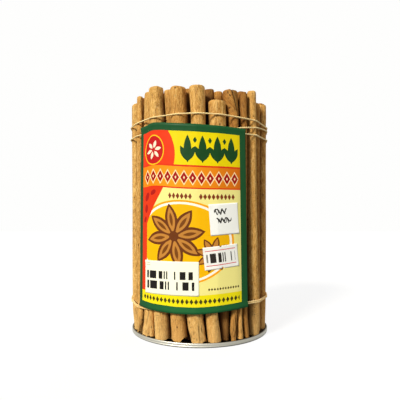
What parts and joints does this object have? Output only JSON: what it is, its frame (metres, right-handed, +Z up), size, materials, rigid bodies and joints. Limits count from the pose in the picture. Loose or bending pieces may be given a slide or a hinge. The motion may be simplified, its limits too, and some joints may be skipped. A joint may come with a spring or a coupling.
{
  "type": "bundle of cinnamon sticks",
  "caption": "Round bundle of upright cinnamon sticks with uneven ends, tied with twine near the top and the foot, in a shallow tin dish, with a bright paper label and stickers at the front.",
  "frame": {"origin": "middle of the underside of the dish", "axes": "+Z up along the sticks, -Y towards the label, +X to the right of the label"},
  "size_m": [0.0864, 0.0884, 0.1415],
  "materials": {
    "cinnamon_bark": "dry matt rolled bark, tan with darker streaks",
    "tinplate": "bright tinplate with a rolled rim",
    "natural_twine": "pale twisted natural fibre",
    "label_paper": "satin coated paper printed in green, yellow, red and orange fields",
    "sticker_paper": "matt white self-adhesive paper"
  },
  "bodies": {
    "root": {"tin_dish": "tinplate", "stick_bundle": "cinnamon_bark", "twine_upper": "natural_twine", "twine_lower": "natural_twine", "label": "label_paper", "sticker_wide": "sticker_paper", "sticker_square": "sticker_paper", "sticker_small": "sticker_paper"}
  },
  "joints": []
}
